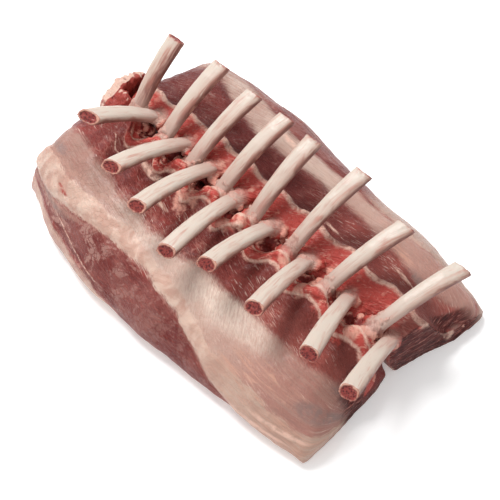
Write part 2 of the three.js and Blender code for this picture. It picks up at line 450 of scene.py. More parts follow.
    # lower muscle under torn skin
    low = blend(tree, fade(tree, patches, 0.4, 0.62), c["low"], c["muscleDeep"])
    low = blend(tree, fade(tree, grainLines, 0.48, 0.7, 0.0, 0.4), low, c["muscleLight"])
    torn = grain(tree, position, 48.0, 8.0, 1.6, 0.62)
    skinLeft = multiply(fade(tree, torn, 0.49, 0.55, 0.0, 0.62), between(flakes, 1.0, 0.25))
    skinLeft = multiply(skinLeft, fade(tree, x, -60 * mm, 0.0, 1.0, 0.35))
    skinLeft = multiply(skinLeft, between(isBack, 1.0, 0.35))
    low = blend(tree, skinLeft, low, c["lowPale"])
    low = blend(tree, multiply(outerStrip, 0.7), low, c["silverGrey"])
    colour = blend(tree, fade(tree, lowEdge, -1 * mm, 2.0 * mm), colour, low)
    footShare = multiply(fade(tree, lowEdge, -1 * mm, -5 * mm), footward)
    foot = blend(tree, fade(tree, torn, 0.42, 0.58), c["foot"], c["lowPale"])
    colour = blend(tree, footShare, colour, foot)

    # the stripe of fat
    fat = blend(tree, fade(tree, grain(tree, position, 90.0, 5.0, 0.6), 0.38, 0.62), c["fatPink"], c["fat"])
    fat = blend(tree, multiply(loin, 0.75), fat, c["loinFat"])
    fat = blend(tree, sheetShare, fat, c["loinPale"])
    warmStrands = multiply(loin, fade(tree, strands, 0.46, 0.60, 0.0, 0.6))
    fat = blend(tree, warmStrands, fat, c["loinWarm"])
    fat = blend(tree, fade(tree, x, -30 * mm, -110 * mm, 0.0, 0.2), fat, c["shoulder"])
    colour = blend(tree, fade(tree, fatEdge, -0.3 * mm, 1.5 * mm, 0.0, 0.95), colour, fat)
    # painted shade: a darker line just outside the fat stripe, towards the shoulder, where the raised stripe
    # meets the skin in a crease
    beside = fade(tree, calc(tree, "ABSOLUTE", plus(fatEdge, 2.2 * mm)), 2.4 * mm, 0.8 * mm, 0.0, 0.6)
    colour = blend(tree, multiply(beside, fade(tree, x, -45 * mm, -80 * mm)), colour, c["wrinkle"])
    warmStreaks = multiply(warmHere, fade(tree, sheets, 0.46, 0.6, 0.1, 0.7))
    colour = blend(tree, warmStreaks, colour, c["loinWarm"])

    # fine pale lines of sinew, and single marks in the skin
    line = fade(tree, calc(tree, "ABSOLUTE", sinew), 0.8 * mm, 0.3 * mm)
    line = multiply(line, fade(tree, spots["Grain"], 0.38, 0.58, 0.1, 0.75))
    colour = blend(tree, line, colour, c["rim"])
    broken = fade(tree, grain(tree, position, 220.0, 4.0, 0.8), 0.36, 0.58, 0.35, 1.0)
    for share, tone in ((greySpot, "grey"), (whiteSpot, "rim"), (redSpot, "nick")):
        colour = blend(tree, multiply(share, broken), colour, c[tone])

    # the sawn ends show raw muscle with seams of fat
    _, acrossEnd, upEnd = addNode(tree, "ShaderNodeSeparateXYZ", {0: position}).outputs
    endPlace = addNode(tree, "ShaderNodeCombineXYZ", {0: acrossEnd, 1: upEnd}).outputs[0]
    endLines = threads("endLines", endPlace)["Threads"]
    rawFlesh = blend(tree, fade(tree, endLines, 0.40, 0.60), c["raw"], c["muscleDeep"])
    rawFlesh = blend(tree, fade(tree, endLines, 0.56, 0.64, 0.0, 0.75), rawFlesh, c["fleckDim"])
    colour = blend(tree, endFace, colour, rawFlesh)

    # cut faces, bright along the top, and painted shade that darkens them deep in the gap between the racks
    cutLines = threads("cutLines", position)["Threads"]
    red = blend(tree, fade(tree, cutLines, 0.56, 0.74, 0.0, 0.6), c["cut"], c["cutPale"])
    paler = multiply(ribbon, fade(tree, cutLines, 0.52, 0.66, 0.0, 0.5))
    red = blend(tree, paler, red, c["cutPale"])
    gapShade = multiply(fade(tree, cutTop, 0.6, 0.1, 0.0, 0.9), fade(tree, ribbon, 0.2, 0.8, 1.0, 0.0))
    red = blend(tree, gapShade, red, c["cutDeep"])
    colour = blend(tree, calc(tree, "MAXIMUM", cut, ribbon), colour, red)
    ragged = grain(tree, position, 260.0, 4.0, 1.0)
    paleShare = fade(tree, plus(pale, grain(tree, position, 120.0, 3.0, 0.8)), 0.78, 1.10)
    flesh = blend(tree, paleShare, c["cut"], c["cutPale"])
    colour = blend(tree, multiply(tissue, 0.92), colour, flesh)
    folds = grain(tree, position, 80.0, 4.0, 2.4)
    lump = blend(tree, fade(tree, folds, 0.34, 0.46), c["cutDeep"], c["knob"])
    lump = blend(tree, fade(tree, plus(folds, multiply(knobPale, 0.4)), 0.58, 0.72), lump, c["knobPale"])
    colour = blend(tree, knob, colour, lump)
    marginShare = multiply(margin, fade(tree, ragged, 0.34, 0.56, 0.45, 0.95))
    colour = blend(tree, marginShare, colour, c["rim"])
    fromRim = calc(tree, "ABSOLUTE", plus(beyond, multiply(wander, 0.3)))
    rim = multiply(fade(tree, fromRim, 2.9 * mm, 0.8 * mm), isBack)
    rim = multiply(rim, fade(tree, ragged, 0.36, 0.6, 0.3, 0.85))
    colour = blend(tree, multiply(rim, fade(tree, below, 5 * mm, 2 * mm)), colour, c["rim"])
    clinging = multiply(cling, fade(tree, ragged, 0.35, 0.6, 0.65, 1.0))
    colour = blend(tree, clinging, colour, c["membrane"])
    # painted highlights: small pale glints of light on the wet muscle, fewer where the silverskin covers it
    wetGlints = multiply(spots["WetGlints"], fade(tree, cover, 0.0, 0.5, 0.16, 0.0))
    colour = blend(tree, wetGlints, colour, c["fleck"])

    # surface
    softStreaks = multiply(streaks, between(shoulderward, 0.2, 0.5))
    weave = mixed(tree, cover, plus(fineLines["Threads"], multiply(creased, 0.5)), softStreaks)
    creaseDepth = multiply(wrinkles, between(shoulderward, -0.06, -0.3))
    height = plus(weave, plus(multiply(spots["Grain"], 0.5), creaseDepth))
    rough = fade(tree, spots["Grain"], 0.3, 0.7, 0.42, 0.58)
    rough = calc(tree, "SUBTRACT", rough, multiply(spots["WetGlints"], 0.2))
    rough = plus(rough, multiply(mixed(tree, cover, -0.14, 0.0), between(endFace, 1.0, -1.0)))
    wet = multiply(mixed(tree, cover, 0.04, 0.10), between(endFace, 1.0, 0.0))
    bump = bumped(tree, height, 0.9 * mm, 0.7)
    send(tree, shader, {"Base Color": colour, "Roughness": rough, "Coat Weight": wet, "Normal": bump})
    return material


boneColours = {
    "ivory": rgb(205, 193, 180),
    "warm": rgb(194, 170, 156),
    "blush": rgb(188, 138, 122),
    "blood": rgb(168, 98, 84),
    "grey": rgb(190, 162, 150),
    # under: painted shade on the side of each bone away from the light
    "under": rgb(112, 64, 56),
    "marrow": rgb(136, 50, 44),
    "marrowDeep": rgb(84, 16, 18),
    "marrowPale": rgb(176, 92, 80),
    "marrowRim": rgb(202, 150, 130),
}


bonePattern = {
    "patches": 9.0,
    "scraped": (0, 16.0, 0.7, 0.3),
    "broad": (0, 16.0, 2.4, 0.8),
    "pores": 820.0,  # to a metre, in the marrow
}


def boneMaterial():
    look = {"Coat Weight": 0.1, "Subsurface Weight": 0.08, "Specular IOR Level": 0.4}
    material, tree, shader = newMaterial("lambBone", {**moist, **look})
    position = addNode(tree, "ShaderNodeTexCoord").outputs["Object"]
    along, around, marrow = painted(tree, "bone")
    facingLight, end, seed = painted(tree, "litSideAndEnd")
    share, stained, _ = painted(tree, "reach")
    c = boneColours

    def multiply(first, second):
        return calc(tree, "MULTIPLY", first, second)

    wrapped = addNode(tree, "ShaderNodeCombineXYZ", {0: along, 1: around, 2: seed}).outputs[0]
    scraped = fibrous(tree, wrapped, bonePattern["scraped"])["Threads"]
    broad = fibrous(tree, wrapped, bonePattern["broad"])["Threads"]
    spots = place(tree, mottle, {"Vector": position, "Size": bonePattern["patches"]})

    # painted light and shade: ivory on the side facing the light, warmer and pinker round the sides, dark on
    # the side away from it
    swayed = calc(tree, "ADD", facingLight, fade(tree, broad, 0.3, 0.7, 0.14, -0.14))
    colour = blend(tree, fade(tree, swayed, 0.4, -0.2), c["ivory"], c["warm"])
    colour = blend(tree, fade(tree, swayed, 0.0, -0.4, 0.0, 0.75), colour, c["blush"])
    colour = blend(tree, fade(tree, swayed, -0.05, -0.45, 0.0, 0.95), colour, c["under"])
    thinLines = fade(tree, scraped, 0.58, 0.68, 0.0, 0.6)
    thinLines = multiply(thinLines, fade(tree, spots["Patches"], 0.42, 0.6))
    colour = blend(tree, thinLines, colour, c["blush"])
    colour = blend(tree, fade(tree, broad, 0.52, 0.72, 0.0, 0.4), colour, c["blush"])
    colour = blend(tree, fade(tree, share, 0.66, 0.42, 0.0, 0.8), colour, c["grey"])
    patchy = fade(tree, broad, 0.5, 0.74, 0.0, 0.35)
    colour = blend(tree, multiply(stained, patchy), colour, c["blood"])

    # the sawn end, and the blood that has run back from it
    tipShare = multiply(fade(tree, share, 0.965, 1.0), fade(tree, spots["Grain"], 0.46, 0.60, 0.15, 0.85))
    colour = blend(tree, tipShare, colour, c["blood"])
    veryTip = multiply(fade(tree, share, 0.985, 1.0), fade(tree, spots["Grain"], 0.36, 0.52, 0.4, 0.9))
    colour = blend(tree, veryTip, colour, c["marrow"])
    colour = blend(tree, end, colour, c["marrowRim"])
    fromRim = calc(tree, "ABSOLUTE", calc(tree, "SUBTRACT", end, 0.35))
    colour = blend(tree, fade(tree, fromRim, 0.4, 0.15, 0.0, 0.8), colour, c["blood"])
    pores = {"Vector": position, "Scale": bonePattern["pores"]}
    sponge = addNode(tree, "ShaderNodeTexVoronoi", pores).outputs["Distance"]
    marrowRed = blend(tree, fade(tree, sponge, 0.25, 0.6), c["marrowDeep"], c["marrow"])
    marrowRed = blend(tree, fade(tree, spots["Grain"], 0.55, 0.66, 0.0, 0.6), marrowRed, c["marrowPale"])
    colour = blend(tree, marrow, colour, marrowRed)

    height = calc(tree, "ADD", multiply(scraped, 0.5), multiply(spots["Grain"], 0.25))
    rough = fade(tree, spots["Grain"], 0.3, 0.7, 0.42, 0.58)
    bump = bumped(tree, height, 0.3 * mm, 0.2)
    send(tree, shader, {"Base Color": colour, "Roughness": rough, "Normal": bump})
    return material


meatFinish = meatMaterial()
boneFinish = boneMaterial()
print("finishes ready")


# bones

bones = {
    "voxel": 0.52 * mm,
    "relax": 2,  # rounds of smoothing
    "puff": 0.18 * mm,  # given back after the smoothing
    # unevenness as size and height in millimetres
    "scrapes": (3.4, 0.13),
    "ragged": (2.4, 0.3),
    "sponge": (1.0, 0.35),
    "spongeDepth": 0.5 * mm,
    "stains": 12 * mm,  # size of the patches of blood
    "collar": 0.43,  # how far up each bone the meat clings, as a share of its length
    "collarThick": 1.6 * mm,
    "marrow": 0.76,  # width of the red marrow on a cut end, as a share of the bone
    "litSide": (-0.5, 0.12, 0.86),  # the side of each bone that faces the light, painted pale; the other side is painted in shade
    "stationCount": 9,
}


def boneLine(nodeName):
    # middles of a bone's sections from its root to its tip
    bm = nodeBmesh(nodeName)
    bm.normal_update()
    places = np.array([vert.co for vert in bm.verts])
    root = places[places[:, 2] < places[:, 2].min() + 4 * mm].mean(0)
    far = places[np.argsort(-np.linalg.norm(places - root, axis=1))[:8]].mean(0)
    chord = (far - root) / np.linalg.norm(far - root)
    reach = (places - root) @ chord
    order = np.argsort(reach)
    rings = np.array_split(order, bones["stationCount"])
    middles = np.array([(places[ring].max(0) + places[ring].min(0)) / 2 for ring in rings])
    heading = Vector(middles[-1] - middles[-2]).normalized()
    ahead = [face for face in bm.faces if face.normal.dot(heading) > 0.5]
    cutFaces = [face for face in ahead if (face.calc_center_median() - Vector(far)).length < 7 * mm]
    cutNormal = sum((face.normal * face.calc_area() for face in cutFaces), Vector()).normalized()
    bm.free()
    return {
        "root": root,
        "chord": chord,
        "low": reach.min(),
        "high": reach.max(),
        "middles": middles,
        "cutNormal": np.array(cutNormal),
    }


def boneMiddle(line, share):
    # point and direction at a share of the bone's length
    middles = line["middles"]
    at = min(max(share, 0), 1) * (len(middles) - 1)
    before = min(int(at), len(middles) - 2)
    step = middles[before + 1] - middles[before]
    return middles[before] + step * (at - before), step / np.linalg.norm(step)


def makeBone(nodeName, seed):
    piece = evenMesh(nodeBmesh(nodeName), nodeName.replace("Rib", "Bone"), bones["voxel"], bones["relax"])
    line = boneLines[nodeName]
    places = points(piece.data)
    facing = normals(piece.data)
    share = ((places - line["root"]) @ line["chord"] - line["low"]) / (line["high"] - line["low"])
    steps = np.linspace(0, 1, len(line["middles"]))
    middles = np.column_stack([np.interp(share, steps, line["middles"][:, axis]) for axis in range(3)])

    def uneven(key, shift, where=places, octaves=3):
        size, height = bones[key]
        return lumps(where, size * mm, seed + shift, octaves) * height * mm

    # the cut end, an oval with marrow in it
    tip, heading = boneMiddle(line, 1)
    sideways = np.cross(heading, [0, 0, 1])
    sideways /= np.linalg.norm(sideways)
    up = np.cross(sideways, heading)
    atTip = places[share > 0.93] - tip
    wide, thick = np.abs(atTip @ sideways).max(), np.abs(atTip @ up).max()
    oval = np.hypot((places - tip) @ sideways / wide, (places - tip) @ up / thick)
    oval += lumps(places, 2.6 * mm, seed + 3) * 0.10
    endFace = ramp(facing @ line["cutNormal"], 0.78, 0.95) * ramp(share, 0.84, 0.9)
    marrow = endFace * (1 - ramp(oval, bones["marrow"], bones["marrow"] + 0.14))

    # marks of the knife along the bone, a ragged tip and spongy marrow
    drawnOut = places - line["chord"] * ((places @ line["chord"])[:, None] * 0.85)
    scraped = uneven("scrapes", 0, drawnOut)
    ragged = ramp(share, 0.93, 0.99) * uneven("ragged", 9)
    sponge = marrow * (bones["spongeDepth"] + uneven("sponge", 11, octaves=2))
    moved = places + facing * (bones["puff"] + scraped + ragged * (1 - endFace))[:, None]
    moved -= line["cutNormal"][None] * sponge[:, None]
    moveTo(piece.data, np.clip(moved, *cadBox))

    # painted light and shade: how far each point faces the lit side of its bone
    outward = places - middles
    litSide = outward @ np.array(bones["litSide"]) / np.maximum(np.linalg.norm(outward, axis=1), 1e-6)
    lengthMetres = np.linalg.norm(line["middles"][-1] - line["middles"][0])
    stained = ramp(lumps(places, bones["stains"], seed + 14, 2), -0.1, 0.35)
    paint(piece.data, "bone", [share * lengthMetres, outward @ sideways, marrow])
    paint(piece.data, "litSideAndEnd", [litSide, endFace, seed * 0.0137])
    paint(piece.data, "reach", [share, stained])
    piece.data.materials.append(boneFinish)
    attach(piece, "root")
    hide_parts(nodeName)
    return piece


boneNames = [f"{side}Rib{i + 1}" for side in ("front", "back") for i in range(ribCount)]
boneLines = {name: boneLine(name) for name in boneNames}
for number, name in enumerate(boneNames):
    makeBone(name, number + 2)
print("bones made")


# racks of meat

racks = {
    "front": {
        "side": -1,
        # lines over the skin, from the trimmed edge (0) to the foot (1), at x in millimetres
        "muscleEdge": [(-119, 0.20), (-89, 0.27), (-69, 0.32), (-49, 0.36), (-29, 0.38), (-7, 0.37),
                       (10, 0.34), (50, 0.34), (83, 0.32), (104, 0.24), (120, 0.24)],
        "fatTop": [(-104, 0.46), (-93, 0.47), (-42, 0.46), (-18, 0.49), (13, 0.54), (39, 0.66), (82, 0.72),
                   (101, 0.76), (120, 0.78)],
        "fatFoot": [(-106, 0.70), (-93, 0.67), (-70, 0.61), (-42, 0.58), (-16, 0.59), (13, 0.65), (30, 0.74),
                    (50, 0.86), (72, 0.97), (98, 1.05), (120, 1.1)],
        "lowFoot": [(-120, 0.74), (-104, 0.76), (-85, 0.80), (-43, 0.83), (-20, 0.95), (10, 0.96),
                    (43, 0.96), (80, 1.0), (120, 1.1)],
        "density": [(-120, 0.8), (-50, 0.9), (0, 0.95), (40, 0.84), (80, 0.62), (115, 0.55)],
        "edgeFrom": -90,  # before this the trimmed edge is lost under the lump of neck meat
        "cutEnds": 130,  # where the bright trimmed face gives way to plain muscle
        "rawBy": 30,  # the sawn loin end is raw this far out from the ridge, in millimetres
        "fleshy": 1.0,  # how many shreds the trimmed face bears
        "cornerIn": 7,  # how far the loin corner is rounded off, in millimetres
        "grooveDepth": (5, 9),  # under the trimmed edge, in millimetres
        # pink and white lumps beside the bones as x, out, up, size
        "lumps": [(3, 11, 55, 3.4), (13, 7, 44, 3), (-34, 20, 48, 4.2), (-28, 17, 50, 3), (-2, 16, 51, 3),
                  (84, 15, 41, 3.4), (91, 9, 43, 3.2), (67, 4, 40, 3), (69, 12, 43, 3), (54, 13, 45, 2.6),
                  (-88, 8, 47, 3.4), (-62, 8, 47, 3), (30, 6, 44, 3)],
        "sinews": [
            [(-90, 0.10), (-84, 0.16), (-74, 0.15)],
            [(-100, 0.66), (-80, 0.74), (-62, 0.79), (-40, 0.83)],
        ],
        # single marks in the skin as x, across, length, width; grey, red and white
        "greySpots": [(108, 0.61, 15, 10), (111, 0.29, 10, 8), (-112, 0.40, 10, 5), (-92, 0.70, 16, 2.5)],
        "redSpots": [(-87, 0.58, 4, 1.5), (-92, 0.565, 3, 1)],
        "whiteSpots": [(-57, 0.11, 13, 3), (-40, 0.22, 8, 2), (97, 0.83, 22, 2.4), (84, 0.90, 26, 2)],
        # and broad patches, of warm streaks and of glossy skin
        "warmSpots": [(78, 0.58, 30, 9), (60, 0.66, 16, 6)],
        "glazeSpots": [(40, 0.43, 38, 16)],
        "seed": 3,
    },
    "back": {
        "side": 1,
        "muscleEdge": [(-110, 0.52), (-84, 0.46), (-51, 0.33), (-33, 0.28), (-12, 0.34), (11, 0.38),
                       (30, 0.42), (52, 0.40), (85, 0.39), (95, 0.38), (108, 0.57), (117, 0.75),
                       (122, 0.86)],
        "fatTop": [(-110, 0.68), (-76, 0.65), (-50, 0.56), (-28, 0.51), (0, 0.56), (53, 0.62), (76, 0.64),
                   (100, 0.78), (112, 0.86), (125, 0.91)],
        "fatFoot": [(-110, 0.685), (-76, 0.655), (-50, 0.565), (-28, 0.515), (0, 0.565), (53, 0.625),
                    (76, 0.645), (100, 0.785), (112, 0.865), (125, 0.915)],
        "lowFoot": [(-110, 0.95), (100, 0.97), (112, 1.15), (125, 1.3)],
        "density": [(-110, 0.72), (0, 0.76), (60, 0.74), (120, 0.7)],
        "edgeFrom": -104,
        "cutEnds": 92,
        "rawBy": 60,
        "fleshy": 0.4,
        "cornerIn": 2,
        "grooveDepth": (8, 13),
        "lumps": [(-98, 9, 52, 3.6), (-94, 6, 48, 3.4), (-34, 7, 53, 3), (-39, 4, 49, 3.4),
                  (-26, 9, 52, 2.6), (100, 9, 38, 3), (104, 7, 36, 3), (75, 3, 34, 3.4), (21, 4, 42, 2.6),
                  (-66, 4, 48, 3), (-8, 4, 46, 3), (46, 3, 40, 3)],
        "sinews": [
            [(30, 0.14), (36, 0.17), (44, 0.16)],
            [(78, 0.27), (84, 0.31), (92, 0.30)],
            [(-50, 0.70), (-30, 0.71), (-5, 0.76)],
        ],
        "greySpots": [(92, 0.40, 12, 5)],
        "redSpots": [],
        "whiteSpots": [(36, 0.17, 6, 1.6), (84, 0.30, 8, 2), (-20, 0.45, 16, 3)],
        "warmSpots": [(70, 0.45, 14, 5)],
        "glazeSpots": [(-75, 0.56, 20, 6)],
        "seed": 8,
    },
}
meat = {
    "voxel": 1.05 * mm,
    "relax": 6,  # rounds of smoothing
    "bareVoxel": 1.4 * mm,  # of the plain rack that the places are measured on
    "skinWidth": 105 * mm,  # length of the skin from the trimmed edge to the foot
    "cutHeight": 17,  # of the trimmed face, in millimetres
    "ribbon": (1, 2.3, 5.6),  # middle of the bright ribbon on the edge, its red and whole half widths
    "ribbonEnd": (108, 114),  # where it fades out at the loin end
    "clingRange": (0.30, 0.5),  # of each bone's length, where the meat clings to it
    "rootBlobs": 5,  # shreds of flesh and fat at each bone's root
    "edgeBlobs": 26,  # and along each trimmed face
    "knob": (-108.7, 3.5, 46),  # middle of the rolled lump of neck meat, and its half sizes
    "knobSize": (15, 21, 14),
    "knobLit": (-0.85, 0.15, 0.5),  # the side of it that is pale
    # unevenness as size and height in millimetres
    "broad": (26, 0.6),
    "muscle": (7, 0.35),
    "fatLumps": (8, 0.5),
    "folds": (6, 1.1),
    "ruffle": (9, 1.5),
}


def skinPlace(places, side):
    # in millimetres, and the place over the skin as a share from the trimmed edge to the foot
    out = (places[:, 1] - ridgeY) * side / mm
    up = places[:, 2] / mm
    return places[:, 0] / mm, out, up, (112 - np.degrees(np.arctan2(up - 8, out - 30))) / 120


def trimmedEdge(places, rack):
    # out and up of the trimmed edge at even steps along a rack
    x, out, up, _ = skinPlace(places, rack["side"])
    stations = np.arange(rack["edgeFrom"], x.max() - 4, 1.5)
    line = []
    for at in stations:
        near = (np.abs(x - at) < 1.6) & (out < 34) & (up > 12)
        pick = np.argmax(np.where(near, up, -1e9))
        line.append((out[pick], up[pick]))
    padded = np.pad(np.array(line), ((2, 2), (0, 0)), mode="edge")
    kernel = np.array([1, 2, 3, 2, 1]) / 9
    return stations, *[np.convolve(padded[:, axis], kernel, "valid") for axis in (0, 1)]


def addCollar(bm, nodeName, rng):
    # the skin of the bone that the meat still clings to, thinning out to nothing
    top, heading = boneMiddle(boneLines[nodeName], bones["collar"] + rng.uniform(-0.02, 0.03))
    top, heading = Vector(top), Vector(heading)
    sleeve = nodeBmesh(nodeName)
    everything = sleeve.verts[:] + sleeve.edges[:] + sleeve.faces[:]
    bmesh.ops.bisect_plane(sleeve, geom=everything, plane_co=top, plane_no=heading, clear_outer=True)
    bmesh.ops.holes_fill(sleeve, edges=[edge for edge in sleeve.edges if edge.is_boundary])
    sleeve.normal_update()
    for vert in sleeve.verts:
        below = (top - vert.co).dot(heading)
        vert.co += vert.normal * (bones["collarThick"] * min(below / (14 * mm), 1) - 0.4 * mm)
    joined = bpy.data.meshes.new("collar")
    sleeve.to_mesh(joined)
    sleeve.free()
    bm.from_mesh(joined)
    bpy.data.meshes.remove(joined)


def addBlob(bm, middle, size, rng):
    # one shred, a flattened lump turned any way; its matrix places it again for the painting
    turn = Matrix.Rotation(rng.uniform(0, 3.1), 4, "Z") @ Matrix.Rotation(rng.uniform(-0.6, 0.6), 4, "X")
    shape = Matrix.Diagonal((size * rng.uniform(1.1, 2.2), size, size * rng.uniform(0.6, 0.9), 1))
    matrix = Matrix.Translation(middle) @ turn @ shape
    bmesh.ops.create_icosphere(bm, subdivisions=2, radius=1, matrix=matrix)
    return np.array(matrix.inverted()), rng.random()


def rootBlobs(bm, nodeName, rng):
    # shreds of flesh and fat where a bone leaves the meat
    blobs = []
    for _ in range(meat["rootBlobs"]):
        middle, heading = boneMiddle(boneLines[nodeName], rng.uniform(0.28, 0.39))
        sideways = Vector(heading).cross(Vector((0, 0, 1))).normalized()
        beside = sideways * rng.choice((-1, 1)) * rng.uniform(3.0, 6.0) * mm
        down = Vector((0, 0, rng.uniform(-5, 0) * mm))
        blobs.append(addBlob(bm, Vector(middle) + beside + down, rng.uniform(1.6, 3.2) * mm, rng))
    return blobs


def edgeBlobs(bm, bare, edge, rack, rng):
    # lumps of fat and torn flesh on the trimmed face
    places, facing = points(bare.data), normals(bare.data)
    x, out, up, _ = skinPlace(places, rack["side"])
    stations, edgeOut, edgeUp = edge
    beyond = out - np.interp(x, stations, edgeOut)
    below = np.interp(x, stations, edgeUp) - up
    onFace = (beyond < 0) & (below < 9) & (below > 2) & (out > 1) & (x > rack["edgeFrom"])
    onFace = np.flatnonzero(onFace)
    blobs = []
    for _ in range(int(meat["edgeBlobs"] * rack["fleshy"])):
        pick = onFace[rng.randrange(len(onFace))]
        size = rng.uniform(1.0, 2.6) * mm
        blobs.append(addBlob(bm, Vector(places[pick] - facing[pick] * 0.35 * size), size, rng))
    return blobs


def grooveBlobs(bm, edge, rack, rng):
    # flesh that closes the groove between the two racks
    stations, _, edgeUp = edge
    for x in np.arange(rack["edgeFrom"] + 4, stations[-1] - 6, 6.5):
        up = np.interp(x, stations, edgeUp) - rng.uniform(*rack["grooveDepth"])
        out = rng.uniform(2.4, 4.0)
        size = rng.uniform(3.0, 4.4)
        addBlob(bm, Vector((x * mm, ridgeY + out * rack["side"] * mm, up * mm)), size * mm, rng)


def addFlesh(bm, bare, edge, ownBones, rack, rng):
    # joins the small forms to a rack and gives back its shreds, for the painting
    blobs = edgeBlobs(bm, bare, edge, rack, rng)
    grooveBlobs(bm, edge, rack, rng)
    for lumpX, lumpOut, lumpUp, size in rack["lumps"]:
        middle = Vector((lumpX * mm, ridgeY + lumpOut * rack["side"] * mm, lumpUp * mm))
        blobs.append(addBlob(bm, middle, size * mm, rng))
        beside = middle + Vector((rng.uniform(-3, 3), 0, -2)) * mm
        blobs.append(addBlob(bm, beside, size * 0.8 * mm, rng))
    for bone in ownBones:
        addCollar(bm, bone, rng)
        blobs += rootBlobs(bm, bone, rng)
    return blobs


def clinging(places, ownBones):
    # 1 where the meat's skin climbs the bones
    cling = np.zeros(len(places))
    for bone in ownBones:
        for share in np.linspace(*meat["clingRange"], 10):
            middle, _ = boneMiddle(boneLines[bone], share)
            near = 1 - ramp(np.linalg.norm(places - middle, axis=1), 5.2 * mm, 6.6 * mm)
            cling = np.maximum(cling, near * ramp(share, 0.28, 0.40))
    return cling


def shredded(places, blobs, torn):
    # how far each point lies in a shred, and that shred's own tone
    tissue, pale = np.zeros(len(places)), np.zeros(len(places))
    local = np.column_stack([places, np.ones(len(places))])
    for matrix, tone in blobs:
        reach = np.linalg.norm((local @ matrix.T)[:, :3], axis=1) + torn * 0.5
        share = 1 - ramp(reach, 0.9, 1.5)
        pale = np.where(share > tissue, tone, pale)
        tissue = np.maximum(tissue, share)
    return tissue, pale


def nearLine(x, across, line):
    # signed distance in millimetres to a given line over the skin
    xs, shares = zip(*line)
    outside = np.maximum(xs[0] - x, 0) + np.maximum(x - xs[-1], 0)
    off = (across - np.interp(x, xs, shares)) * meat["skinWidth"] / mm
    return off + np.sign(off) * outside


def nearestSinew(x, across, rack):
    sinew = np.full(len(x), 99.0)
    for line in rack["sinews"]:
        off = nearLine(x, across, line)
        sinew = np.where(np.abs(off) < np.abs(sinew), off, sinew)
    return sinew


def spotShare(x, across, spots):
    # how far each point lies inside the nearest of the marks, 1 at its middle
    share = np.zeros(len(x))
    for spotX, spotAcross, length, width in spots:
        far = np.hypot((x - spotX) / length, (across - spotAcross) * meat["skinWidth"] / mm / width)
        share = np.maximum(share, 1 - ramp(far, 0.45, 1.1))
    return share


